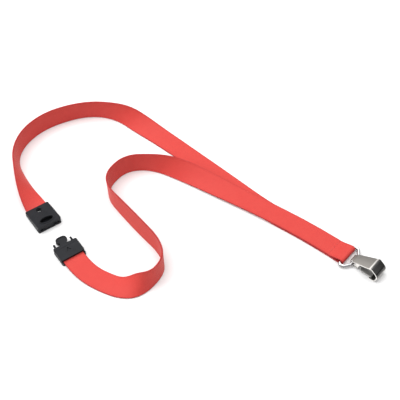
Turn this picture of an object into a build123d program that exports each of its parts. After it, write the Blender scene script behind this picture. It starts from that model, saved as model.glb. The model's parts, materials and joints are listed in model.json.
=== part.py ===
"""A neck lanyard laid on a table: one ribbon, a breakaway buckle that is apart, a ring and a spring hook.

Millimetres, +Z up. The origin is the middle of the lanyard's footprint, on the table it lies on.
"""

from build123d import *
from math import cos, sin, radians, tan
import os

# ribbon
strap_width = 15.0
strap_thick = 1.0
strap_gap = 0.3  # between the two strands where one lies on the other

# buckle: both halves lie on one line and close along it
buckle_entry = (-106.2, -9.7)  # where the ribbon enters the socket
buckle_heading = -55.0  # from the socket towards the plug
buckle_span = 50.9  # from the socket's ribbon entry to the plug's
plastic_wall = 1.0
floor_thick = 0.8  # under the clamped ribbon
strap_side_gap = 0.2
split_gap = 0.05  # between a half's lower and upper moulding
tooth_height = 0.25
tooth_pitch = 0.95
tooth_gap = 0.05  # left between a tooth's tip and the ribbon
fixing_hole_radius = 1.9
fixing_hole_inset = 3.7
boss_wall = 0.4  # of the tube round the fixing hole, which goes through the ribbon
boss_gap = 0.1

socket_length = 19.6
socket_rear_height = 3.0
socket_mouth_height = 5.4
buckle_corner = 0.9
scoop_width = 10.6
scoop_depth = 1.0
window_width = 9.6
window_length = 4.8
window_rim = 0.9
window_rim_height = 0.25
socket_roof = 1.0  # over the head's chamber

plug_length = 11.5
plug_height = 4.3
plug_front = 2.4  # solid wall that carries the head
plug_wing = 1.8  # side walls past the ribbon's entry
head_width = 8.0
head_length = 5.4
head_thick = 2.3
head_reach = 7.3
head_floor = 1.3  # underside of the head
head_dish = 0.35
neck_width = 4.8
head_gap = 0.8  # round the head in its chamber
head_lift_gap = 0.3  # under the head in its chamber
prong_radius = 0.75
prong_length = 3.9
prong_gap = 0.2
prong_spread = 12.6
arrow_size = 3.0
arrow_depth = 0.6

# ring and hook
clip_fold = (103.9, -51.2)  # outermost line of the ribbon's fold
clip_heading = -40.0  # from the ribbon towards the hook
wire = 2.0
wire_slack = 0.15  # between the ribbon and the ring's bar
ring_side_gap = 0.6
ring_reach = 4.4  # fold line to the middle of the wire the hook hangs on
ring_flat = 8.8
ring_corner = 1.8
ring_shoulder = 1.2
seam_distance = 11.0  # fold line to the seam

sheet = 0.9
eye_gap = 0.2
eye_width = 5.6
hook_shoulder = 0.3  # distances along the hook are from the middle of the wire in its eye
hook_rear_width = 7.6
hook_nose_width = 10.6
bend_distance = 14.9
bend_height = 9.9
bend_radius = 0.8
nose_distance = 20.3
nose_height = 5.8
nose_radius = 4.0
foot_distance = 18.4
foot_radius = 2.0
tip_distance = 14.2
pin_distance = 3.5
pin_radius = 0.6
pin_height = 1.35
pin_head = 0.3
pin_fit = 0.02  # all round, in the lugs
gate_pin_fit = 0.05
lug_radius = 1.25
gate_sheet = 0.6
gate_gap = 0.1
gate_nose_width = 9.0
gate_overlap = 1.4  # how far the gate covers the hook's tip

# stitches of the seam
stitch_length = 1.8
stitch_count = 5
stitch_radius = 0.25


def direction(heading):
    return Vector(cos(radians(heading)), sin(radians(heading)), 0)


def frame(point, heading):
    """A place on the table, turned so that its x runs along the heading."""
    return Plane(origin=point, x_dir=direction(heading), z_dir=(0, 0, 1)).location


def along(point, heading, distance):
    end = Vector(*point) + distance * direction(heading)
    return (end.X, end.Y)


# derived sizes and places
inner_width = strap_width + 2 * strap_side_gap
buckle_width = inner_width + 2 * plastic_wall
plug_entry = along(buckle_entry, buckle_heading, buckle_span)
seam_point = along(clip_fold, clip_heading, -seam_distance)
bar_height = wire / 2 + wire_slack + strap_thick
bar_offset = -bar_height
lower_lift = strap_thick + strap_gap
strap_bed = floor_thick + tooth_height + tooth_gap  # height of the clamped ribbon's underside
cover_underside = strap_bed + strap_thick + tooth_gap + tooth_height
split_height = cover_underside - split_gap
boss_radius = fixing_hole_radius + boss_wall
teeth_start = fixing_hole_inset + boss_radius + boss_gap
strap_depth = teeth_start + 3 * tooth_pitch
prong_level = head_floor + head_thick / 2
eye_inner = wire / 2 + eye_gap
eye_outer = eye_inner + sheet
eye_middle = eye_inner + sheet / 2
tip_level = sheet / 2 - eye_outer  # as low as the eye
pin_level = pin_height - bar_height

# Routes of the two strands, from the seam to the buckle: x, y, height of the ribbon's lower edge and
# its lean, which is 0 lying flat and 90 standing on edge. The lean raises the right-hand edge.
upper_route = [
    (*seam_point, 0, 0),
    (79.3, -30.7, 0, 0),
    (52.8, -12.4, 0, 0),
    (20.8, 18.6, 0, 0),
    (-8.7, 46.4, 0, 0),
    (-34, 67.6, 0, 12),
    (-55, 79, 0, 80),
    (-78, 82.3, 0, 90),
    (-104.5, 72.3, 0, 84),
    (-121, 55.6, 0, 86),
    (-126.6, 35, 0, 86),
    (-119.3, 14.2, 0, 62),
    (-111.7, -1.8, 0.7, 28),
    (*buckle_entry, strap_bed, 0),
]
lower_route = [
    (*seam_point, lower_lift, 0),
    (79.3, -30.7, lower_lift, 0),
    (52.8, -12.4, lower_lift, 0),
    (27, 3.6, 1.2, 2),
    (-3.4, 21.2, 0.2, 33),
    (-27, 28, 0, 84),
    (-46.2, 27.3, 0, 82),
    (-58, 13, 0, 82),
    (-57.6, -0.6, 0, 90),
    (-46.4, -14.8, 0, 96),
    (-33, -31.5, 0, 98),
    (-20.5, -46.6, 0, 93),
    (-16.5, -60.8, 0, 86),
    (-26, -75.2, 0, 84),
    (-42, -77, 0, 6),
    (-60.2, -68.4, 0, 0),
    (-71.3, -59.5, 0.8, 0),
    (*plug_entry, strap_bed, 0),
]
split_corner = 15  # corner of the lower strand where the part that follows the plug begins
stations_per_arc = 4

socket_place = frame(buckle_entry, buckle_heading)
plug_place = frame(plug_entry, buckle_heading + 180)
clip_place = frame(clip_fold, clip_heading)


def corner_radii(route):
    """One radius for each corner: 0.45 of the shorter run over the tangent of half the turn."""
    radii = []
    for before, here, after in zip(route, route[1:], route[2:]):
        run_in = Vector(*here[:2]) - Vector(*before[:2])
        run_out = Vector(*after[:2]) - Vector(*here[:2])
        turn = radians(run_in.get_angle(run_out))
        radii.append(0.45 * min(run_in.length, run_out.length) / tan(turn / 2))
    return radii


def ribbon_section(point, tangent, lift, lean):
    """The ribbon's rectangle across its route, standing on its lower edge."""
    lean = radians(lean)
    right = Vector(tangent.Y, -tangent.X, 0)
    across = right * cos(lean) + Vector(0, 0, sin(lean))
    height = lift + strap_width / 2 * abs(sin(lean)) + strap_thick / 2 * abs(cos(lean))
    place = Plane(origin=(point.X, point.Y, height), x_dir=across, z_dir=tangent)
    return place * Rectangle(strap_width, strap_thick)


def ribbon_sections(route, name, clamp_heading):
    """Sections at the route's ends, along the arc at each corner and at the end of the clamped part.

    Each comes with the corner of the route that it belongs to.
    """
    radii = corner_radii(route)
    print(name, "corner radii", [round(r) for r in radii])
    points = [(p[0], p[1]) for p in route]
    path = FilletPolyline(*points, radius=radii)
    print(name, "length", round(path.length, 1))
    arcs = [edge for edge in path.edges() if edge.geom_type == GeomType.CIRCLE]
    seam_side = direction(clip_heading + 180)
    sections = [(0, ribbon_section(path @ 0, seam_side, route[0][2], route[0][3]))]
    for corner, arc in enumerate(arcs, start=1):
        for step in range(stations_per_arc):
            share = step / (stations_per_arc - 1)
            weights = (0.5 * (1 - share) ** 2, 0.5 + share * (1 - share), 0.5 * share**2)
            near = route[corner - 1 : corner + 2]
            lift = sum(w * p[2] for w, p in zip(weights, near))
            lean = sum(w * p[3] for w, p in zip(weights, near))
            sections.append((corner, ribbon_section(arc @ share, arc % share, lift, lean)))
    last = len(route) - 1
    inward = direction(clamp_heading)
    for depth in (0, strap_depth):
        point = path @ 1 + inward * depth
        sections.append((last, ribbon_section(point, inward, route[-1][2], route[-1][3])))
    return sections


def fixing_hole(radius=fixing_hole_radius):
    return Pos(fixing_hole_inset, 0, 0) * Cylinder(radius, 4 * socket_mouth_height)


def fixing_boss():
    """The tube round the fixing hole, down through the ribbon to the socket's floor."""
    low = floor_thick + split_gap
    height = cover_underside - low
    return Pos(fixing_hole_inset, 0, low + height / 2) * Cylinder(boss_radius, height)


def make_straps():
    upper = ribbon_sections(upper_route, "upper strand", buckle_heading)
    lower = ribbon_sections(lower_route, "lower strand", buckle_heading + 180)
    fixed = [section for corner, section in lower if corner < split_corner]
    follows = [section for corner, section in lower if corner >= split_corner]
    hole = socket_place * fixing_hole(boss_radius + boss_gap)
    return {
        "strap_upper": loft([section for _, section in upper], ruled=True) - hole,
        "strap_lower": loft([*fixed, follows[0]], ruled=True),
        "strap_plug_end": loft(follows, ruled=True),
    }


def make_ring_loop():
    """The ribbon's short loop round the ring's bar, from the seam and back, seen from its edge."""
    bar = (bar_offset, bar_height)
    seam = -seam_distance
    outside = make_hull(
        [
            *(Pos(*bar) * Circle(bar_height)).edges(),
            *Polyline((seam, 0), (seam, lower_lift + strap_thick)).edges(),
        ]
    )
    inside = make_hull(
        [
            *(Pos(*bar) * Circle(wire / 2 + wire_slack)).edges(),
            *Polyline((seam, strap_thick), (seam, lower_lift)).edges(),
        ]
    )
    profile = Plane.XZ * (outside - inside)
    return clip_place * extrude(profile, strap_width / 2, both=True)


def make_stitches():
    """Short threads in a row across the ribbon, just before the loop opens."""
    top = lower_lift + strap_thick
    pitch = strap_width / stitch_count
    thread = Rot(90, 0, 0) * Cylinder(stitch_radius, stitch_length)
    thread = split(thread, Plane.XY)
    rows = [
        Pos(-seam_distance - stitch_radius * 4, (index - (stitch_count - 1) / 2) * pitch, top) * thread
        for index in range(stitch_count)
    ]
    return clip_place * Compound(rows)


def make_ring():
    """A wire ring with a straight bar in the ribbon and a straight side for the hook."""
    side = strap_width / 2 + ring_side_gap + wire / 2
    corners = [
        (bar_offset, side),
        (ring_shoulder, side),
        (ring_reach, ring_flat / 2),
        (ring_reach, -ring_flat / 2),
        (ring_shoulder, -side),
        (bar_offset, -side),
    ]
    shoulder_radius = 1.3 * wire
    radii = [ring_corner, shoulder_radius, 2 * wire, 2 * wire, shoulder_radius, ring_corner]
    path = FilletPolyline(*corners, radius=radii, close=True)
    start = Plane(origin=path @ 0, z_dir=path % 0)
    return clip_place * Pos(0, 0, bar_height) * sweep(start * Circle(wire / 2), path)


def hook_place():
    """The hook's own frame: its origin is the middle of the wire in the eye."""
    return clip_place * Pos(ring_reach, 0, bar_height)


def across(profile, width):
    """A profile drawn in x and z, made into a solid of that width."""
    return extrude(Plane.XZ * profile, width / 2, both=True)


def hook_path():
    """Middle of the hook's sheet, from the eye's top over the bend and round the nose to the tip."""
    return FilletPolyline(
        (0, eye_middle),
        (bend_distance, bend_height - bar_height),
        (nose_distance, nose_height - bar_height),
        (foot_distance, tip_level),
        (tip_distance, tip_level),
        radius=[bend_radius, nose_radius, foot_radius],
    )


def hook_outline():
    """The hook from above: a narrow tongue for the eye, then a plate that widens to the nose."""
    half = [
        (-eye_outer, eye_width / 2),
        (hook_shoulder, eye_width / 2),
        (hook_shoulder, hook_rear_width / 2),
        (bend_distance, hook_nose_width / 2),
        (nose_distance + nose_radius, hook_nose_width / 2),
    ]
    mirrored = [(x, -y) for x, y in reversed(half)]
    return Polygon(*half, *mirrored, align=None)


def lug():
    """A side lug from the plate down to the gate's pin, seen from the side."""
    slope = (bend_height - bar_height - eye_middle) / bend_distance
    foot = Pos(pin_distance, pin_level) * Circle(lug_radius)
    reach = [pin_distance - 1.4 * lug_radius, pin_distance + 2 * lug_radius]
    root = Polyline(*[(x, eye_middle + slope * x) for x in reach])
    return make_hull([*foot.edges(), *root.edges()])


def make_hook():
    path = Plane.XZ * hook_path()
    start = Plane(origin=path @ 0, z_dir=path % 0, x_dir=(0, 1, 0))
    plate = sweep(start * Rectangle(2 * hook_nose_width, sheet), path)
    plate &= extrude(hook_outline(), 2 * bend_height, both=True)
    curl = Circle(eye_outer) - Circle(eye_inner)
    curl -= Pos(eye_outer, eye_inner / 4) * Rectangle(2 * eye_outer, eye_inner)
    hook = plate + across(curl, eye_width)
    lug_offset = (hook_rear_width - sheet) / 2
    for side in (-1, 1):
        hook += Pos(0, side * lug_offset, 0) * across(lug(), sheet)
    hook -= pin_cylinder(pin_radius + pin_fit, 2 * hook_nose_width)
    return hook_place() * hook


def pin_cylinder(radius, length):
    """A cylinder on the gate pin's axis."""
    return Pos(pin_distance, 0, pin_level) * Rot(90, 0, 0) * Cylinder(radius, length)


def make_gate_pin():
    """A pin with a low round head outside each lug."""
    pin = pin_cylinder(pin_radius, hook_rear_width + 2 * pin_head)
    head_offset = hook_rear_width / 2 + pin_head / 2 + pin_fit
    for side in (-1, 1):
        pin += Pos(0, side * head_offset, 0) * pin_cylinder(1.5 * pin_radius, pin_head)
    return hook_place() * pin


def make_gate():
    """A spring leaf rolled round the pin, which closes on the inside of the hook's tip."""
    inner = pin_radius + gate_pin_fit
    roll_width = hook_rear_width - 2 * sheet - 2 * gate_gap
    end = tip_distance + gate_overlap
    waist = pin_distance + 2.3 * lug_radius
    leaf = Polygon(
        (pin_distance, roll_width / 2),
        (waist, roll_width / 2),
        (waist + gate_sheet, gate_nose_width / 2),
        (end, gate_nose_width / 2),
        (end, -gate_nose_width / 2),
        (waist + gate_sheet, -gate_nose_width / 2),
        (waist, -roll_width / 2),
        (pin_distance, -roll_width / 2),
        align=None,
    )
    level = tip_level + sheet / 2 + gate_gap + gate_sheet / 2
    gate = Pos(0, 0, level - gate_sheet / 2) * extrude(leaf, gate_sheet, dir=(0, 0, 1))
    gate += pin_cylinder(inner + gate_sheet, roll_width)
    gate -= pin_cylinder(inner, 2 * roll_width)
    return hook_place() * gate


def half_block(length, low, high_rear, high_front, rear=0.0):
    """A buckle half's block, with a top that rises from the ribbon's side to the other."""
    side = Polygon((rear, low), (length, low), (length, high_front), (rear, high_rear), align=None)
    block = across(side, buckle_width)
    uprights = block.edges().filter_by(Axis.Z)
    return fillet(uprights, buckle_corner)


def teeth(height, upward):
    """Ribs across the ribbon's bed that bite into it."""
    ribs = []
    tip = tooth_height if upward else -tooth_height
    for index in range(3):
        x = teeth_start + (index + 0.5) * tooth_pitch
        half = tooth_pitch / 3
        rib = Polygon((x - half, height), (x, height + tip), (x + half, height), align=None)
        ribs.append(across(rib, inner_width))
    return ribs


def strap_bed_cut(rear, floor):
    """The room that the clamped ribbon lies in, open at the top."""
    depth = strap_depth + strap_side_gap - rear
    height = cover_underside - floor
    middle = Pos(rear + depth / 2, 0, floor + height / 2)
    return middle * Box(depth, inner_width, height)


def prong_bores():
    depth = prong_length + 4 * prong_gap
    middle = socket_length - depth / 2
    bore = Rot(0, 90, 0) * Cylinder(prong_radius + prong_gap, depth)
    places = [Pos(middle, side * prong_spread / 2, prong_level) for side in (-1, 1)]
    return [place * bore for place in places]


def chamber():
    """The room for the plug's head, with a wide oval scoop at its mouth."""
    depth = head_reach + head_gap / 2
    low = head_floor - head_lift_gap
    high = head_floor + head_thick + head_lift_gap
    middle = Pos(socket_length - depth / 2, 0, (low + high) / 2)
    room = middle * Box(depth, head_width + 2 * head_gap, high - low)
    mouth = Ellipse(scoop_width / 2, (high - low + head_lift_gap) / 2)
    scoop = extrude(Plane.YZ * mouth, scoop_depth)
    return room + Pos(socket_length - scoop_depth, 0, (low + high) / 2) * scoop


def make_socket():
    base = half_block(socket_length, 0, split_height, split_height)
    base -= strap_bed_cut(-1, floor_thick)
    for rib in teeth(floor_thick, upward=True):
        base += rib
    cover = half_block(socket_length, cover_underside, socket_rear_height, socket_mouth_height)
    cover += fixing_boss()
    for rib in teeth(cover_underside, upward=False):
        cover += rib
    slope = (socket_mouth_height - socket_rear_height) / socket_length
    window_place = socket_length - head_reach + head_length / 2
    top = Plane(
        origin=(window_place, 0, socket_rear_height + slope * window_place),
        x_dir=(1, 0, slope),
        z_dir=(-slope, 0, 1),
    )
    window = Ellipse(window_length / 2, window_width / 2)
    rim = Ellipse(window_length / 2 + window_rim, window_width / 2 + window_rim)
    cover += extrude(top * rim, window_rim_height)
    cover -= extrude(top * window, 2 * socket_roof, both=True)
    for cut in (fixing_hole(), chamber(), *prong_bores()):
        base -= cut
        cover -= cut
    return {"socket_base": socket_place * base, "socket_cover": socket_place * cover}


def make_head():
    """The snap head on its neck, with a dished top."""
    level = head_floor + head_thick / 2
    middle = plug_length + head_reach - head_length / 2
    root = plug_length - plug_front / 2
    neck = Pos((root + middle) / 2, 0, level) * Box(middle - root, neck_width, head_thick)
    shape = Pos(middle, 0) * SlotOverall(head_width, head_length, rotation=90)
    head = Pos(0, 0, head_floor) * extrude(shape, head_thick)
    head = fillet(head.edges().group_by(Axis.Z)[-1], head_dish)
    dish_shape = Pos(middle, 0) * SlotOverall(head_width - 2, head_length - 2, rotation=90)
    dish = Pos(0, 0, head_floor + head_thick - head_dish) * extrude(dish_shape, head_thick)
    return neck + head - dish


def make_prongs():
    prong = Rot(0, 90, 0) * Cylinder(prong_radius, prong_length + plug_front)
    tip = prong.faces().sort_by(Axis.X)[-1].edges()
    prong = fillet(tip, prong_radius * 0.6)
    middle = plug_length + (prong_length - plug_front) / 2
    return [Pos(middle, side * prong_spread / 2, prong_level) * prong for side in (-1, 1)]


def make_plug():
    body = half_block(plug_length, 0, split_height, split_height, rear=-plug_wing)
    wall_middle = plug_length - plug_front / 2
    wall = Pos(wall_middle, 0, plug_height / 2) * Box(plug_front, buckle_width, plug_height)
    body += fillet(wall.edges().filter_by(Axis.Z).group_by(Axis.X)[-1], buckle_corner)
    body -= strap_bed_cut(-plug_wing - 1, floor_thick)
    for rib in teeth(floor_thick, upward=True):
        body += rib
    body += make_head()
    for prong in make_prongs():
        body += prong
    cover_length = plug_length - plug_front - split_gap
    cover = half_block(cover_length, cover_underside, plug_height - 0.4, plug_height)
    for rib in teeth(cover_underside, upward=False):
        cover += rib
    arrow = Triangle(a=arrow_size, b=arrow_size, c=arrow_size, rotation=-90)
    cover -= Pos(cover_length - arrow_size, 0, plug_height - arrow_depth) * extrude(arrow, 1)
    return {"plug_body": plug_place * body, "plug_cover": plug_place * cover}


nodes = {
    **make_straps(),
    "strap_ring_loop": make_ring_loop(),
    "seam_stitches": make_stitches(),
    **make_socket(),
    **make_plug(),
    "ring": make_ring(),
    "hook_body": make_hook(),
    "gate_pin": make_gate_pin(),
    "hook_gate": make_gate(),
}
os.makedirs("parts", exist_ok=True)
for name, solid in nodes.items():
    print(name, round(solid.volume, 1), "mm3")
    export_step(solid, f"parts/{name}.step")
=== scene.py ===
import json
from math import cos, sin, pi, radians, tan

import bmesh
import bpy
from mathutils import Matrix, Vector

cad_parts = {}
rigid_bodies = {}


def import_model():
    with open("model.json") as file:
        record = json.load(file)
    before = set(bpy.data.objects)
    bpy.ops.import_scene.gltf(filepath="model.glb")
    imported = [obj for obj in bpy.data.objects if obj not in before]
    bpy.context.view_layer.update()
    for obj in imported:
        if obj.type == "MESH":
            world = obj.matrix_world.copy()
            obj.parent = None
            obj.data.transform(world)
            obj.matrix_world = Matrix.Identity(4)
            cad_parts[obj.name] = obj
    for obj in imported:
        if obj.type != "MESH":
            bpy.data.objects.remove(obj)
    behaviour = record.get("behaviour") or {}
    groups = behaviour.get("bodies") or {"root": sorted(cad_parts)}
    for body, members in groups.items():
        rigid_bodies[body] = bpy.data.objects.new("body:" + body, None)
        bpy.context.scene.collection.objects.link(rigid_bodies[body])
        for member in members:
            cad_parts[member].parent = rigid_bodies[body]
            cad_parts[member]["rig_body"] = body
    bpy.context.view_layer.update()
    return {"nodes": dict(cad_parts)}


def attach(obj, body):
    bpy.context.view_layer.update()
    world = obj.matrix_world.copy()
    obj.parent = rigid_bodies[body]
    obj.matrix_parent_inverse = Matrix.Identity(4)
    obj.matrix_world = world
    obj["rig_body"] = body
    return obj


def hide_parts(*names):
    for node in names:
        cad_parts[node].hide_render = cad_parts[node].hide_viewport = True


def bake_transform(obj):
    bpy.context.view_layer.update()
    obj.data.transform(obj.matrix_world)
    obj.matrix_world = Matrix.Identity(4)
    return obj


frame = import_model()
mm = 0.001  # everything is in metres


class Channel:
    # a node's output that adds, multiplies and so on like a number
    def __init__(self, paint, socket):
        self.paint = paint
        self.socket = socket

    def maths(self, operation, first, second):
        return self.paint.node("Math", {"operation": operation}, {0: first, 1: second})

    def __add__(self, other):
        return self.maths("ADD", self, other)

    def __radd__(self, other):
        return self.maths("ADD", other, self)

    def __sub__(self, other):
        return self.maths("SUBTRACT", self, other)

    def __rsub__(self, other):
        return self.maths("SUBTRACT", other, self)

    def __mul__(self, other):
        return self.maths("MULTIPLY", self, other)

    def __rmul__(self, other):
        return self.maths("MULTIPLY", other, self)

    def __pow__(self, other):
        return self.maths("POWER", self, other)

    def __abs__(self):
        return self.maths("ABSOLUTE", self, 0.0)


class Paint:
    # one material; constants go straight on the shader's own sockets
    def __init__(self, name, constants):
        self.material = bpy.data.materials.new(name)
        self.material.use_nodes = True
        self.tree = self.material.node_tree
        self.shader = self.tree.nodes["Principled BSDF"]
        for socket, value in constants.items():
            self.shader.inputs[socket].default_value = value

    def node(self, kind, settings, inputs, output=0):
        made = self.tree.nodes.new("ShaderNode" + kind)
        for name, value in settings.items():
            if name == "stops":
                ramp = made.color_ramp
                while len(ramp.elements) < len(value):
                    ramp.elements.new(0.5)
                for element, (position, colour) in zip(ramp.elements, value):
                    element.position = position
                    element.color = colour
            else:
                setattr(made, name, value)
        for socket, value in inputs.items():
            self.feed(made.inputs[socket], value)
        if isinstance(output, tuple):
            return [Channel(self, made.outputs[which]) for which in output]
        return Channel(self, made.outputs[output])

    def feed(self, socket, value):
        if isinstance(value, Channel):
            self.tree.links.new(value.socket, socket)
        else:
            socket.default_value = value

    def mixed(self, share, first, second):
        # sockets 6 and 7 and output 2 are the ones for colours
        return self.node("Mix", {"data_type": "RGBA"}, {0: share, 6: first, 7: second}, output=2)

    def step(self, value, start, end):
        # smoothly from 0 at start to 1 at end, whichever of them is larger
        ends = {"Value": value, "From Min": start, "From Max": end}
        return self.node("MapRange", {"interpolation_type": "SMOOTHSTEP"}, ends)

    def sine(self, value):
        return self.node("Math", {"operation": "SINE"}, {0: value})

    def place(self):
        # where a point is on a swept piece: along it, across it and out of it
        where = self.node("Attribute", {"attribute_name": "piecePlace"}, {}, output="Vector")
        return where, self.node("SeparateXYZ", {}, {0: where}, output=("X", "Y", "Z"))

    def stretched(self, vector, scale):
        return self.node("VectorMath", {"operation": "MULTIPLY"}, {0: vector, 1: scale})

    def noise(self, vector, scale, detail=2.0):
        return self.node("TexNoise", {}, {"Vector": vector, "Scale": scale, "Detail": detail})

    def finish(self, **varying):
        for name, value in varying.items():
            self.feed(self.shader.inputs[name.replace("_", " ")], value)
        return self.material


def atPlace(point, heading, height=0.0):
    return Matrix.Translation((point[0], point[1], height)) @ Matrix.Rotation(radians(heading), 4, "Z")


def addPiece(name, mesh, body, material, sharp=35):
    mesh.materials.clear()
    mesh.materials.append(material)
    for face in mesh.polygons:
        face.use_smooth = True
    mesh.set_sharp_from_angle(angle=radians(sharp))
    piece = bpy.data.objects.new(name, mesh)
    bpy.context.scene.collection.objects.link(piece)
    if body:
        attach(piece, body)
    return piece


def sweptMesh(name, stations, closed=False):
    # stations are (centre, across, up, section), and a section is a ring of (across, up) offsets
    shape = bmesh.new()
    place = shape.verts.layers.float_vector.new("piecePlace")
    rings = []
    travelled = 0.0
    for index, (centre, across, up, section) in enumerate(stations):
        if index:
            travelled += (centre - stations[index - 1][0]).length
        ring = []
        for right, rise in section:
            vert = shape.verts.new(centre + across * right + up * rise)
            vert[place] = (travelled, right, rise)
            ring.append(vert)
        rings.append(ring)
    pairs = list(zip(rings, rings[1:]))
    if closed:
        pairs.append((rings[-1], rings[0]))
    for first, second in pairs:
        for index in range(len(first)):
            after = (index + 1) % len(first)
            shape.faces.new((first[index], first[after], second[after], second[index]))
    if not closed:
        shape.faces.new(rings[0])
        shape.faces.new(rings[-1])
    bmesh.ops.recalc_face_normals(shape, faces=shape.faces)
    mesh = bpy.data.meshes.new(name)
    shape.to_mesh(mesh)
    shape.free()
    return mesh


def mergeMeshes(name, meshes):
    shape = bmesh.new()
    for mesh in meshes:
        shape.from_mesh(mesh)
    merged = bpy.data.meshes.new(name)
    shape.to_mesh(merged)
    shape.free()
    return merged


def roundedSection(width, thick, radius, steps=3):
    section = []
    for sideways, upward, start in ((1, 1, 0), (-1, 1, 90), (-1, -1, 180), (1, -1, 270)):
        for step in range(steps + 1):
            turn = radians(start + 90 * step / steps)
            right = sideways * (width / 2 - radius) + radius * cos(turn)
            rise = upward * (thick / 2 - radius) + radius * sin(turn)
            section.append((right, rise))
    return section


def roundSection(radius, steps=20):
    return [(radius * cos(2 * pi * k / steps), radius * sin(2 * pi * k / steps)) for k in range(steps)]


def bentLine(corners, radii, step, closed=False):
    # a line in a plane with an arc at each inner corner, as points about a step apart
    count = len(corners)
    turning = range(count) if closed else range(1, count - 1)
    line = [] if closed else [Vector(corners[0])]
    for index, radius in zip(turning, radii):
        here = Vector(corners[index])
        back = (Vector(corners[index - 1]) - here).normalized()
        ahead = (Vector(corners[(index + 1) % count]) - here).normalized()
        half = back.angle(ahead) / 2
        centre = here + (back + ahead).normalized() * (radius / sin(half))
        start = here + back * (radius / tan(half)) - centre
        end = here + ahead * (radius / tan(half)) - centre
        sweep = start.angle(end)
        parts = max(4, int(radius * sweep / step))
        for part in range(parts + 1):
            share = part / parts
            point = start * sin((1 - share) * sweep) + end * sin(share * sweep)
            line.append(centre + point / sin(sweep))
    if not closed:
        line.append(Vector(corners[-1]))
    filled = []
    ends = line[1:] + (line[:1] if closed else [])
    for first, second in zip(line, ends):
        parts = max(1, round((second - first).length / step))
        filled += [first.lerp(second, part / parts) for part in range(parts)]
    if not closed:
        filled.append(line[-1])
    return filled


def planeStations(line, sections, closed=False):
    # a line in x and z becomes stations whose across is y
    stations = []
    count = len(line)
    for index, point in enumerate(line):
        before = line[index - 1] if closed or index else line[0]
        after = line[(index + 1) % count] if closed or index + 1 < count else line[-1]
        run = (after - before).normalized()
        centre = Vector((point[0], 0, point[1]))
        stations.append((centre, Vector((0, 1, 0)), Vector((-run[1], 0, run[0])), sections[index]))
    return stations


def softEnds(line, sections, radius):
    # the first and last sections shrink, so a cut end has a rounded edge
    for turn in (0, 45):
        shrink = radius * (1 - sin(radians(turn)))
        inset = radius * (1 - cos(radians(turn)))
        for end, step in ((0, 1), (-1, -1)):
            edge = line[end]
            toward = (line[end + step] - edge).normalized()
            section = sections[end]
            wide = max(right for right, _ in section)
            tall = max(rise for _, rise in section)
            small = [(r * (wide - shrink) / wide, u * (tall - shrink) / tall) for r, u in section]
            if turn == 0:
                sections[end] = small
            else:
                where = 1 if end == 0 else len(line) - 1
                line.insert(where, edge + toward * inset)
                sections.insert(where, small)
    return line, sections


print("camera and studio")
view = {"target": (0.006, -0.001, 0), "elevation": 50, "distance": 0.62, "lens": 80.4}
studio = {
    "floorSize": 8.0,
    "floorGap": 0.05 * mm,
    "floorColour": (0.86, 0.86, 0.86, 1),
    "mottleSize": 6.0,
    "mottleShade": 0.985,
    "skyTop": (1.0, 1.0, 1.0, 1),
    "skySide": (0.03, 0.03, 0.032, 1),
    "skyHeights": (0.12, 0.72),  # where the sky starts to brighten and where it is brightest
    "skyStrength": 1.15,
    "lamps": {
        "overheadLamp": {"location": (-0.3, 0.3, 1.3), "size": 1.4, "power": 13},
        "sideLamp": {"location": (-1.1, -0.1, 0.8), "size": 0.7, "power": 5},
    },
}

cameraData = bpy.data.cameras.new("camera")
cameraData.lens = view["lens"]
cameraData.sensor_width = 36
camera = bpy.data.objects.new("camera", cameraData)
bpy.context.scene.collection.objects.link(camera)
lookBack = Vector((0, -cos(radians(view["elevation"])), sin(radians(view["elevation"]))))
camera.location = Vector(view["target"]) + lookBack * view["distance"]
camera.rotation_euler = (radians(90 - view["elevation"]), 0, 0)
bpy.context.scene.camera = camera
bpy.context.scene.view_settings.view_transform = "Standard"

world = bpy.data.worlds.new("studioSky")
world.use_nodes = True
bpy.context.scene.world = world
sky = world.node_tree
direction = sky.nodes.new("ShaderNodeTexCoord")
height = sky.nodes.new("ShaderNodeSeparateXYZ")
ramp = sky.nodes.new("ShaderNodeValToRGB")
skyColours = (studio["skySide"], studio["skyTop"])
for element, position, colour in zip(ramp.color_ramp.elements, studio["skyHeights"], skyColours):
    element.position = position
    element.color = colour
sky.links.new(direction.outputs["Generated"], height.inputs[0])
sky.links.new(height.outputs[2], ramp.inputs[0])
sky.links.new(ramp.outputs[0], sky.nodes["Background"].inputs[0])
sky.nodes["Background"].inputs[1].default_value = studio["skyStrength"]


def addLamp(name, location, size, power):
    lampData = bpy.data.lights.new(name, "AREA")
    lampData.size = size
    lampData.energy = power
    lamp = bpy.data.objects.new(name, lampData)
    lamp.location = location
    lamp.rotation_mode = "QUATERNION"
    lamp.rotation_quaternion = Vector(location).to_track_quat("Z", "Y")
    bpy.context.scene.collection.objects.link(lamp)


for lampName, lampValues in studio["lamps"].items():
    addLamp(lampName, **lampValues)

floorPaint = Paint("paleFloor", {"Roughness": 0.9, "Specular IOR Level": 0.1})
floorSpot = floorPaint.node("TexCoord", {}, {}, output="Object")
floorMottle = floorPaint.noise(floorSpot, studio["mottleSize"])
floorWhite = studio["floorColour"]
floorShade = tuple(studio["mottleShade"] * part for part in floorWhite[:3]) + (1,)
floorMaterial = floorPaint.finish(Base_Color=floorPaint.mixed(floorMottle, floorShade, floorWhite))
floorShape = bmesh.new()
bmesh.ops.create_grid(floorShape, x_segments=4, y_segments=4, size=studio["floorSize"] / 2)
floorMesh = bpy.data.meshes.new("floor")
floorShape.to_mesh(floorMesh)
floorMesh.materials.append(floorMaterial)
floor = bpy.data.objects.new("floor", floorMesh)
floor.location = (0, 0, -studio["floorGap"])
bpy.context.scene.collection.objects.link(floor)


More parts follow.
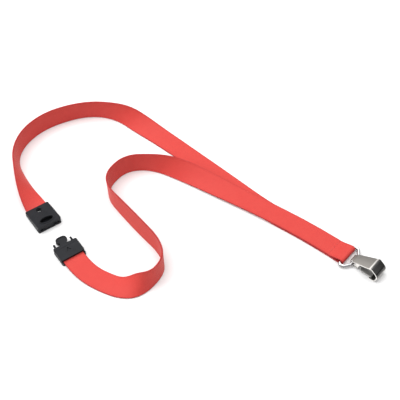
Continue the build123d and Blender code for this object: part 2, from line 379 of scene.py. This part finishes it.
print("ribbon")
ribbon = {
    "width": 15.0 * mm,
    "thick": 1.0 * mm,
    "seam": (0.09547, -0.04413),
    "colour": (0.68, 0.052, 0.041, 1),
    "gapColour": (0.36, 0.011, 0.013, 1),
    # painted shade, along both edges and past the crest of the ring loop's fold
    "edgeColour": (0.34, 0.012, 0.015, 1),
    "wornColour": (0.76, 0.100, 0.074, 1),
    "ribPitch": 0.62 * mm,
    "yarnPitch": 0.42 * mm,
    "weaveDepth": 0.05 * mm,
    "splineSteps": 14,
    "insideBuckle": 8.85 * mm,
    "insideSteps": 4,
}

# x, y, height of the lower edge and lean in degrees, from the seam to the buckle
upperRoute = [
    (0.09547, -0.04413, 0, 0),
    (0.0793, -0.0307, 0, 0),
    (0.0528, -0.0124, 0, 0),
    (0.0208, 0.0186, 0, 0),
    (-0.0087, 0.0464, 0, 0),
    (-0.034, 0.0676, 0, 12),
    (-0.055, 0.079, 0, 80),
    (-0.078, 0.0823, 0, 90),
    (-0.1045, 0.0723, 0, 84),
    (-0.121, 0.0556, 0, 86),
    (-0.1266, 0.035, 0, 86),
    (-0.1193, 0.0142, 0, 62),
    (-0.1117, -0.0018, 0.0007, 28),
    (-0.1062, -0.0097, 0.0011, 0),
]
lowerRoute = [
    (0.09547, -0.04413, 0.0013, 0),
    (0.0793, -0.0307, 0.0013, 0),
    (0.0528, -0.0124, 0.0013, 0),
    (0.027, 0.0036, 0.0012, 2),
    (-0.0034, 0.0212, 0.0002, 33),
    (-0.027, 0.028, 0, 84),
    (-0.0462, 0.0273, 0, 82),
    (-0.058, 0.013, 0, 82),
    (-0.0576, -0.0006, 0, 90),
    (-0.0464, -0.0148, 0, 96),
    (-0.033, -0.0315, 0, 98),
    (-0.0205, -0.0466, 0, 93),
    (-0.0165, -0.0608, 0, 86),
    (-0.026, -0.0752, 0, 84),
    (-0.042, -0.077, 0, 6),
    (-0.0602, -0.0684, 0, 0),
    (-0.0713, -0.0595, 0.0008, 0),
    (-0.077, -0.0514, 0.0011, 0),
]


def splinePoints(knots, steps):
    curve = bpy.data.curves.new("route", "CURVE")
    curve.dimensions = "3D"
    spline = curve.splines.new("NURBS")
    spline.points.add(len(knots) - 1)
    for point, knot in zip(spline.points, knots):
        point.co = (*knot, 1)
    spline.order_u = 3
    spline.use_endpoint_u = True
    spline.resolution_u = steps
    holder = bpy.data.objects.new("route", curve)
    mesh = bpy.data.meshes.new_from_object(holder)
    points = [vertex.co.copy() for vertex in mesh.vertices]
    bpy.data.objects.remove(holder)
    bpy.data.curves.remove(curve)
    bpy.data.meshes.remove(mesh)
    return points


def ribbonSection():
    # flat in the middle, with a groove and a thicker selvedge near each edge
    half = [(0.0, 0.5), (3.0, 0.5), (5.6, 0.49), (6.35, 0.46), (6.6, 0.5)]
    half += [(6.95, 0.54), (7.25, 0.5), (7.43, 0.36), (7.5, 0.14)]
    top = [(-x, z) for x, z in reversed(half[1:])] + half
    bottom = [(x, -z) for x, z in reversed(top)]
    scale = ribbon["width"] / 15
    return [(x * scale, z * scale) for x, z in top + bottom]


def ribbonStations(route):
    steps = ribbon["splineSteps"]
    line = splinePoints([knot[:3] for knot in route], steps)
    leans = [point.x for point in splinePoints([(knot[3], 0, 0) for knot in route], steps)]
    runOut = (line[-1] - line[-2]).normalized()
    for _ in range(ribbon["insideSteps"]):
        further = ribbon["insideBuckle"] / ribbon["insideSteps"]
        line.append(line[-1] + Vector((runOut.x, runOut.y, 0)) * further)
        leans.append(0)
    section = ribbonSection()
    stations = []
    for index, point in enumerate(line):
        before = line[max(index - 1, 0)]
        after = line[min(index + 1, len(line) - 1)]
        run = Vector((after.x - before.x, after.y - before.y, 0)).normalized()
        lean = radians(leans[index])
        across = Vector((run.y, -run.x, 0)) * cos(lean) + Vector((0, 0, sin(lean)))
        rise = ribbon["width"] / 2 * abs(sin(lean)) + ribbon["thick"] / 2 * abs(cos(lean))
        centre = Vector((point.x, point.y, point.z + rise))
        stations.append((centre, across, across.cross(run), section))
    return stations


def weavePaint(name, fold=None):
    paint = Paint(name, {"Sheen Weight": 0.08, "Sheen Roughness": 0.45, "Specular IOR Level": 0.3})
    paint.shader.inputs["Sheen Tint"].default_value = (1, 0.5, 0.45, 1)
    where, (along, across, _) = paint.place()
    ribs = paint.sine(along * (pi / ribbon["ribPitch"]))
    yarns = paint.sine(across * (pi / ribbon["yarnPitch"]))
    crown = abs(ribs * yarns) ** 0.6
    over = paint.step(ribs * yarns, -0.15, 0.15)
    fibres = paint.noise(paint.stretched(where, (300, 3600, 1)), 1.0, 3.0)
    cloud = paint.noise(paint.stretched(where, (1, 1, 1)), 140.0, 3.0)
    # painted shade: darker along both edges and in the groove beside each
    edge = paint.step(abs(across), 6.95 * mm, 7.35 * mm)
    groove = paint.step(abs(abs(across) - 6.35 * mm), 0.22 * mm, 0.02 * mm)
    yarn = paint.mixed(over * 0.35 + cloud * 0.4, ribbon["colour"], ribbon["wornColour"])
    woven = paint.mixed(crown * 0.8 + fibres * 0.35, ribbon["gapColour"], yarn)
    edged = paint.mixed(edge * 0.75 + groove * 0.25, woven, ribbon["edgeColour"])
    if fold:
        # painted shade: darker from the crest of a fold onwards, where the fold turns away from the light
        edged = paint.mixed(paint.step(along, *fold) * 0.65, edged, ribbon["edgeColour"])
    height = crown + fibres * 0.3 + over * 0.15
    bump = paint.node("Bump", {}, {"Strength": 0.6, "Distance": ribbon["weaveDepth"], "Height": height})
    return paint.finish(Base_Color=edged, Roughness=0.52 + fibres * 0.2, Normal=bump)


weave = weavePaint("redWeave")
upperStations = ribbonStations(upperRoute)
lowerStations = ribbonStations(lowerRoute)

# the tube round the socket's fixing hole goes through the ribbon's end
socketTube = {"entry": (-0.1062, -0.0097), "heading": -55, "inset": 3.7 * mm, "radius": 2.4 * mm}
tubePlace = atPlace(socketTube["entry"], socketTube["heading"])
upperMesh = sweptMesh("upperStrand", upperStations)
upperStrand = addPiece("upperStrand", upperMesh, None, weave)
punchShape = bmesh.new()
bmesh.ops.create_cone(
    punchShape,
    cap_ends=True,
    segments=48,
    radius1=socketTube["radius"],
    radius2=socketTube["radius"],
    depth=8 * mm,
)
punchMesh = bpy.data.meshes.new("punch")
punchShape.to_mesh(punchMesh)
punch = bpy.data.objects.new("punch", punchMesh)
punch.matrix_world = tubePlace @ Matrix.Translation((socketTube["inset"], 0, 0))
bpy.context.scene.collection.objects.link(punch)
cut = upperStrand.modifiers.new("hole", "BOOLEAN")
cut.object = punch
cut.operation = "DIFFERENCE"
bpy.context.view_layer.update()
punched = bpy.data.meshes.new_from_object(upperStrand.evaluated_get(bpy.context.evaluated_depsgraph_get()))
upperStrand.modifiers.clear()
upperStrand.data = punched
bpy.data.objects.remove(punch)
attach(upperStrand, "strap")
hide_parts("strap_upper")

lowerMesh = sweptMesh("lowerStrand", lowerStations)
lowerStrand = addPiece("lowerStrand", lowerMesh, None, weave)
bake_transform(lowerStrand)
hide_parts("strap_lower", "strap_plug_end")


print("ring loop")
clip = {
    "fold": (0.1039, -0.0512),
    "heading": -40,
    "seamBack": 11.0 * mm,
    "barBack": 2.15 * mm,
    "barHeight": 2.15 * mm,
    "foldRadius": 1.65 * mm,
    "upperLevel": 1.8 * mm,
    "lowerLevel": 0.5 * mm,
    "climbSteps": 20,
    "foldSteps": 24,
    "backSteps": 16,
    "foldPaintedShade": (9.9 * mm, 11.2 * mm),  # painted shade along the loop, from the seam
}
clipPlace = atPlace(clip["fold"], clip["heading"])


def loopStations():
    # level from the seam, up over the ring's bar, round it and back along the table
    bar = Vector((-clip["barBack"], clip["barHeight"]))
    radius = clip["foldRadius"]
    seam = -clip["seamBack"]
    climb = bar.y + radius - clip["upperLevel"]
    path = []
    for part in range(clip["climbSteps"]):
        share = part / clip["climbSteps"]
        rise = share * share * (3 - 2 * share)
        path.append(Vector((seam + (bar.x - seam) * share, clip["upperLevel"] + climb * rise)))
    for part in range(clip["foldSteps"] + 1):
        turn = pi / 2 - pi * part / clip["foldSteps"]
        path.append(bar + Vector((cos(turn), sin(turn))) * radius)
    for part in range(clip["backSteps"]):
        share = (part + 1) / clip["backSteps"]
        path.append(Vector((bar.x + (seam - bar.x) * share, clip["lowerLevel"])))
    return planeStations(path, [ribbonSection()] * len(path))


loopMesh = sweptMesh("ringLoop", loopStations())
loopMesh.transform(clipPlace)
foldShadedWeave = weavePaint("redWeavePaintedFoldShade", clip["foldPaintedShade"])
ringLoop = addPiece("ringLoop", loopMesh, "strap", foldShadedWeave)
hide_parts("strap_ring_loop")

stitch = {
    "count": 5,
    "length": 1.8 * mm,
    "radius": 0.2 * mm,
    "behindSeam": 1.0 * mm,
    "height": 2.25 * mm,
    "arch": 0.16 * mm,
    "steps": 12,
    "sides": 12,
    "plyPitch": 0.5 * mm,
    "colour": (0.72, 0.075, 0.062, 1),
    "darkShare": 0.7,
}


def threadPaint():
    paint = Paint("redThread", {"Roughness": 0.6, "Sheen Weight": 0.2})
    _, (along, across, out) = paint.place()
    ply = abs(paint.sine((along + across + out) * (pi / stitch["plyPitch"])))
    dark = tuple(stitch["darkShare"] * part for part in stitch["colour"][:3]) + (1,)
    bump = paint.node("Bump", {}, {"Strength": 0.7, "Distance": 0.05 * mm, "Height": ply})
    return paint.finish(Base_Color=paint.mixed(ply, dark, stitch["colour"]), Normal=bump)


def stitchMeshes():
    meshes = []
    pitch = ribbon["width"] / stitch["count"]
    back = -clip["seamBack"] - stitch["behindSeam"]
    section = roundSection(stitch["radius"], stitch["sides"])
    for index in range(stitch["count"]):
        middle = (index - (stitch["count"] - 1) / 2) * pitch
        stations = []
        for part in range(stitch["steps"] + 1):
            share = part / stitch["steps"]
            sideways = middle + (share - 0.5) * stitch["length"]
            rise = stitch["height"] + stitch["arch"] * sin(pi * share) ** 0.5
            centre = Vector((back, sideways, rise))
            stations.append((centre, Vector((1, 0, 0)), Vector((0, 0, 1)), section))
        meshes.append(sweptMesh("stitch", stations))
    return meshes


stitchMesh = mergeMeshes("seamStitches", stitchMeshes())
stitchMesh.transform(clipPlace)
seamStitches = addPiece("seamStitches", stitchMesh, "strap", threadPaint())
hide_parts("seam_stitches")


print("ring, hook and gate")
ring = {
    "wire": 2.0 * mm,
    "sides": 28,
    "side": 9.1 * mm,
    "shoulder": 1.2 * mm,
    "reach": 4.4 * mm,
    "flat": 8.8 * mm,
    "cornerRadii": (1.8 * mm, 2.6 * mm, 4 * mm),  # by the bar, at the shoulder and at the flat
    "colour": (0.60, 0.60, 0.61, 1),
    "lightColour": (0.82, 0.82, 0.83, 1),
    # painted reflection: the wire is darker below these heights out of its middle
    "darkReflectionColour": (0.09, 0.09, 0.095, 1),
    "darkReflectionHeights": (0.72 * mm, 0.10 * mm),
}


def chromePaint():
    paint = Paint("brightWire", {"Metallic": 1.0, "Specular IOR Level": 0.5})
    where, (_, _, out) = paint.place()
    drawn = paint.noise(paint.stretched(where, (260, 5200, 5200)), 1.0, 3.0)
    cloud = paint.noise(where, 700.0, 3.0)
    tone = paint.mixed(cloud, ring["colour"], ring["lightColour"])
    # painted reflection: the sides and the underside are darker than the top
    darkReflection = paint.step(out, *ring["darkReflectionHeights"])
    tone = paint.mixed(darkReflection * 0.9, tone, ring["darkReflectionColour"])
    bump = paint.node("Bump", {}, {"Strength": 0.15, "Distance": 0.01 * mm, "Height": drawn})
    return paint.finish(Base_Color=tone, Roughness=0.08 + cloud * 0.10 + darkReflection * 0.1, Normal=bump)


def ringStations():
    back = -clip["barBack"]
    side, shoulder, reach, flat = ring["side"], ring["shoulder"], ring["reach"], ring["flat"] / 2
    half = [(back, side), (shoulder, side), (reach, flat)]
    corners = half + [(x, -y) for x, y in reversed(half)]
    radii = [*ring["cornerRadii"], *reversed(ring["cornerRadii"])]
    line = bentLine(corners, radii, 0.35 * mm, closed=True)
    section = roundSection(ring["wire"] / 2, ring["sides"])
    stations = []
    for index, point in enumerate(line):
        run = (line[(index + 1) % len(line)] - line[index - 1]).normalized()
        centre = Vector((point.x, point.y, clip["barHeight"]))
        stations.append((centre, Vector((run.y, -run.x, 0)), Vector((0, 0, 1)), section))
    return stations


ringMesh = sweptMesh("wireRing", ringStations(), closed=True)
ringMesh.transform(clipPlace)
wireRing = addPiece("wireRing", ringMesh, "ring", chromePaint())
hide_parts("ring")


hook = {
    "sheet": 0.9 * mm,
    "edge": 0.14 * mm,
    "eyeRadius": 1.65 * mm,
    "eyeWidth": 5.6 * mm,
    "eyeStart": -14,  # degrees
    "eyeSweep": -238.4,
    "eyeSteps": 40,
    "shoulder": 0.3 * mm,
    "rearWidth": 7.6 * mm,
    "noseWidth": 10.6 * mm,
    "bend": (14.9 * mm, 7.75 * mm),
    "bendRadius": 0.8 * mm,
    "nose": (20.3 * mm, 3.65 * mm),
    "noseRadius": 4.0 * mm,
    "foot": (18.4 * mm, -1.65 * mm),
    "footRadius": 2.0 * mm,
    "tip": (14.2 * mm, -1.65 * mm),
    "pin": (3.5 * mm, -0.8 * mm),
    "lugRadius": 1.25 * mm,
    "lugReach": (1.75 * mm, 6.0 * mm),
    "lugEdge": 0.13 * mm,
    "noseStart": (22.6 * mm, 23.3 * mm),  # these six are distances along the plate and out of it
    "noseEnd": (30.8 * mm, 29.4 * mm),
    "bendMiddle": 22.1 * mm,
    "footStart": (29.6 * mm, 30.8 * mm),
    "insideFace": (-0.36 * mm, -0.43 * mm),
    "cutEdge": (0.44 * mm, 0.38 * mm),
    "colour": (0.27, 0.255, 0.235, 1),
    "lightColour": (0.42, 0.40, 0.375, 1),
    # painted light: a dark painted reflection on the nose and painted shade inside, streaked, and painted
    # highlights on the bend and the cut edges
    "paintedShadeColour": (0.03, 0.03, 0.03, 1),
    "noseReflectionStreakColour": (0.10, 0.10, 0.10, 1),
    "edgeColour": (0.88, 0.86, 0.83, 1),
}
pinColours = ((0.50, 0.49, 0.47, 1), (0.68, 0.67, 0.65, 1))
gate = {
    "sheet": 0.6 * mm,
    "edge": 0.1 * mm,
    "level": -0.8 * mm,
    "end": 15.6 * mm,
    "width": 9.0 * mm,
    "neckEnds": (3.3 * mm, 2.1 * mm),  # ahead of the pin, where the leaf bends up to its roll
    "neckRadius": 1.0 * mm,
    "widens": (2.9 * mm, 3.7 * mm),
    "rollWidth": 5.4 * mm,
    "rollRadius": 0.95 * mm,
    "rollAngles": (100, 350),
    "colour": (0.52, 0.51, 0.49, 1),
    "lightColour": (0.70, 0.69, 0.67, 1),
}
eyePlace = clipPlace @ Matrix.Translation((ring["reach"], 0, clip["barHeight"]))


def steelPaint(name, colour, lightColour, plate):
    paint = Paint(name, {"Metallic": 1.0, "Specular IOR Level": 0.5})
    where, (along, _, out) = paint.place()
    brushed = paint.noise(paint.stretched(where, (500, 9000, 1)), 1.0, 4.0)
    grain = paint.noise(where, 2600.0, 4.0)
    cloud = paint.noise(where, 380.0, 2.0)
    tone = paint.mixed(brushed * 0.5 + grain * 0.35 + cloud * 0.15, colour, lightColour)
    polish = paint.step(cloud, 0.35, 0.65)
    rough = 0.34 + brushed * 0.14 + grain * 0.08
    if plate:
        # painted light on the plate: plain on the top, a painted dark reflection on the nose, painted
        # shade inside, painted highlights on the bend and the cut edges and a lighter painted band on the
        # foot
        nose = paint.step(along, *hook["noseStart"]) * paint.step(along, *hook["noseEnd"])
        bend = paint.step(abs(along - hook["bendMiddle"]), 0.75 * mm, 0.35 * mm)
        foot = paint.step(along, *hook["footStart"])
        insideShade = paint.step(out, *hook["insideFace"])
        edge = paint.step(abs(out), *hook["cutEdge"])
        noseReflection = paint.mixed(brushed, hook["paintedShadeColour"], hook["noseReflectionStreakColour"])
        tone = paint.mixed(nose * 0.97, tone, noseReflection)
        tone = paint.mixed(bend * 0.9, tone, hook["edgeColour"])
        tone = paint.mixed(foot * 0.6, tone, hook["lightColour"])
        tone = paint.mixed(insideShade * 0.9, tone, hook["paintedShadeColour"])
        tone = paint.mixed(edge * 0.95, tone, hook["edgeColour"])
        rough = rough - nose * 0.22 - edge * 0.15
    height = brushed + grain * 0.6
    bump = paint.node("Bump", {}, {"Strength": 0.35, "Distance": 0.012 * mm, "Height": height})
    return paint.finish(Base_Color=tone, Roughness=rough + polish * 0.03, Normal=bump)


def hookMesh():
    curl = []
    for part in range(hook["eyeSteps"] + 1):
        turn = radians(hook["eyeStart"] + hook["eyeSweep"] * part / hook["eyeSteps"])
        curl.append(Vector((cos(turn), sin(turn))) * hook["eyeRadius"])
    corners = [curl[-1], hook["bend"], hook["nose"], hook["foot"], hook["tip"]]
    radii = [hook["bendRadius"], hook["noseRadius"], hook["footRadius"]]
    plate = bentLine(corners, radii, 0.3 * mm)
    line = curl + plate[1:]
    bendIndex = min(range(len(line)), key=lambda k: (line[k] - Vector(hook["bend"])).length)
    sections = []
    for index, point in enumerate(line):
        if index < len(curl) or point.x < hook["shoulder"]:
            width = hook["eyeWidth"]
        elif index < bendIndex:
            grow = (point.x - hook["shoulder"]) / (hook["bend"][0] - hook["shoulder"])
            width = hook["rearWidth"] + (hook["noseWidth"] - hook["rearWidth"]) * grow
        else:
            width = hook["noseWidth"]
        sections.append(roundedSection(width, hook["sheet"], hook["edge"]))
    line, sections = softEnds(line, sections, hook["edge"])
    meshes = [sweptMesh("plate", planeStations(line, sections))]
    for side in (-1, 1):
        meshes.append(lugMesh(side * (hook["rearWidth"] - hook["sheet"]) / 2))
    return mergeMeshes("springHook", meshes)


def lugMesh(offset):
    pin = Vector(hook["pin"])
    outline = [pin + Vector(spot) for spot in roundSection(hook["lugRadius"], 40)]
    slope = (hook["bend"][1] - hook["eyeRadius"]) / hook["bend"][0]
    outline += [Vector((reach, hook["eyeRadius"] + slope * reach)) for reach in hook["lugReach"]]
    shape = bmesh.new()
    for rise in (-0.5, 0.5):
        for point in outline:
            shape.verts.new((point.x, offset + rise * hook["sheet"], point.y))
    bmesh.ops.convex_hull(shape, input=shape.verts)
    loose = [vert for vert in shape.verts if not vert.link_faces]
    bmesh.ops.delete(shape, geom=loose, context="VERTS")
    bmesh.ops.dissolve_limit(shape, angle_limit=radians(2), verts=shape.verts, edges=shape.edges)
    rims = [edge for edge in shape.edges if edge.calc_face_angle(0) > radians(60)]
    bmesh.ops.bevel(shape, geom=rims, offset=hook["lugEdge"], segments=3, profile=0.5, affect="EDGES")
    place = shape.verts.layers.float_vector.new("piecePlace")
    for vert in shape.verts:
        vert[place] = (vert.co.x, vert.co.z, 0)
    mesh = bpy.data.meshes.new("lug")
    shape.to_mesh(mesh)
    shape.free()
    return mesh


def turnedMesh(name, profile, steps=32):
    # profile is (distance along y, radius) from one end to the other, turned about y
    stations = []
    for along, radius in profile:
        section = roundSection(radius, steps)
        stations.append((Vector((0, along, 0)), Vector((1, 0, 0)), Vector((0, 0, 1)), section))
    return sweptMesh(name, stations)


steel = steelPaint("brushedSteel", hook["colour"], hook["lightColour"], True)
hookShape = hookMesh()
hookShape.transform(eyePlace)
springHook = addPiece("springHook", hookShape, "hook", steel, sharp=50)
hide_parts("hook_body")

# distance from the pin's middle and radius, in millimetres, over the head at one end
pinHead = [(-4.12, 0.1), (-4.10, 0.45), (-4.02, 0.72), (-3.92, 0.86), (-3.84, 0.9), (-3.82, 0.9)]
pinHead.append((-3.82, 0.6))
pinProfile = pinHead + [(-along, radius) for along, radius in reversed(pinHead)]
pinMesh = turnedMesh("gatePin", [(along * mm, radius * mm) for along, radius in pinProfile])
pinMesh.transform(eyePlace @ Matrix.Translation((hook["pin"][0], 0, hook["pin"][1])))
pinSteel = steelPaint("turnedSteel", *pinColours, False)
gatePin = addPiece("gatePin", pinMesh, "hook", pinSteel)
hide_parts("gate_pin")


def gateMesh():
    pin = Vector(hook["pin"])
    radius = gate["rollRadius"]
    corners = [
        (gate["end"], gate["level"]),
        (pin.x + gate["neckEnds"][0], gate["level"]),
        (pin.x + gate["neckEnds"][1], gate["level"] + radius),
        (pin.x, gate["level"] + radius),
    ]
    leaf = bentLine(corners, [gate["neckRadius"], gate["neckRadius"]], 0.3 * mm)
    line = list(leaf)
    for angle in range(gate["rollAngles"][0], gate["rollAngles"][1] + 1, 10):
        line.append(pin + Vector((cos(radians(angle)), sin(radians(angle)))) * radius)
    wideFrom, wideTo = gate["widens"]
    sections = []
    for index, point in enumerate(line):
        grow = (point.x - (pin.x + wideFrom)) / (wideTo - wideFrom)
        grow = min(1, max(0, grow)) if index < len(leaf) else 0
        width = gate["rollWidth"] + (gate["width"] - gate["rollWidth"]) * grow
        sections.append(roundedSection(width, gate["sheet"], gate["edge"]))
    line, sections = softEnds(line, sections, gate["edge"])
    return sweptMesh("springGate", planeStations(line, sections))


gateShape = gateMesh()
gateShape.transform(eyePlace)
gateSteel = steelPaint("springSteel", gate["colour"], gate["lightColour"], False)
springGate = addPiece("springGate", gateShape, "gate", gateSteel, sharp=50)
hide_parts("hook_gate")


print("buckle")
buckle = {
    "edge": 0.16 * mm,
    "edgeSteps": 3,
    "weldGap": 0.002 * mm,
    "levelAngle": 1.5,  # degrees, neighbouring faces closer than this become one
    "edgeAngle": 40,
    "colour": (0.007, 0.0075, 0.0095, 1),
    "greyColour": (0.018, 0.019, 0.023, 1),
    # painted shade on the rounded edges
    "edgeColour": (0.002, 0.002, 0.003, 1),
    "grainSize": 4200.0,
    "flatArea": 2.5 * mm * mm,  # larger faces are flat
}


def plasticPaint():
    paint = Paint("blackPlastic", {"Specular IOR Level": 0.14})
    spot = paint.node("TexCoord", {}, {}, output="Object")
    grain = paint.noise(spot, buckle["grainSize"], 2.0)
    flow = paint.noise(paint.stretched(spot, (1, 1, 3)), 160.0, 3.0)
    rounded = paint.node("Attribute", {"attribute_name": "roundedEdge"}, {}, output="Fac")
    tone = paint.mixed(flow, buckle["colour"], buckle["greyColour"])
    # painted shade: darker on the rounded edges
    tone = paint.mixed(rounded * 0.9, tone, buckle["edgeColour"])
    bump = paint.node("Bump", {}, {"Strength": 0.45, "Distance": 0.03 * mm, "Height": grain + flow * 0.4})
    return paint.finish(Base_Color=tone, Roughness=0.36 + grain * 0.16, Normal=bump)


def mouldedCopy(node, name, material):
    # the CAD shape with welded faces and a soft edge all round
    shape = bmesh.new()
    shape.from_mesh(frame["nodes"][node].data)
    bmesh.ops.remove_doubles(shape, verts=shape.verts, dist=buckle["weldGap"])
    level = radians(buckle["levelAngle"])
    bmesh.ops.dissolve_limit(shape, angle_limit=level, verts=shape.verts, edges=shape.edges)
    mesh = bpy.data.meshes.new(name)
    shape.to_mesh(mesh)
    shape.free()
    for _ in range(2):
        mesh.materials.append(material)  # one for the moulded faces and one for the rounded ones
    copy = bpy.data.objects.new(name + "Draft", mesh)
    bpy.context.scene.collection.objects.link(copy)
    soften = copy.modifiers.new("edge", "BEVEL")
    soften.width = buckle["edge"]
    soften.segments = buckle["edgeSteps"]
    soften.limit_method = "ANGLE"
    soften.angle_limit = radians(buckle["edgeAngle"])
    soften.material = 1
    bpy.context.view_layer.update()
    softened = bpy.data.meshes.new_from_object(copy.evaluated_get(bpy.context.evaluated_depsgraph_get()))
    softened.name = name
    roundedEdge = softened.attributes.new("roundedEdge", "FLOAT", "FACE")
    for face, mark in zip(softened.polygons, roundedEdge.data):
        mark.value = face.material_index
        face.material_index = 0
    bpy.data.objects.remove(copy)
    body = frame["nodes"][node]["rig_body"]
    piece = addPiece(name, softened, body, material, sharp=30)
    for face in softened.polygons:
        face.use_smooth = face.area < buckle["flatArea"]
    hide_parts(node)
    return piece


plastic = plasticPaint()
for node, name in (
    ("socket_base", "socketBase"),
    ("socket_cover", "socketCover"),
    ("plug_body", "plugBody"),
    ("plug_cover", "plugCover"),
):
    mouldedCopy(node, name, plastic)
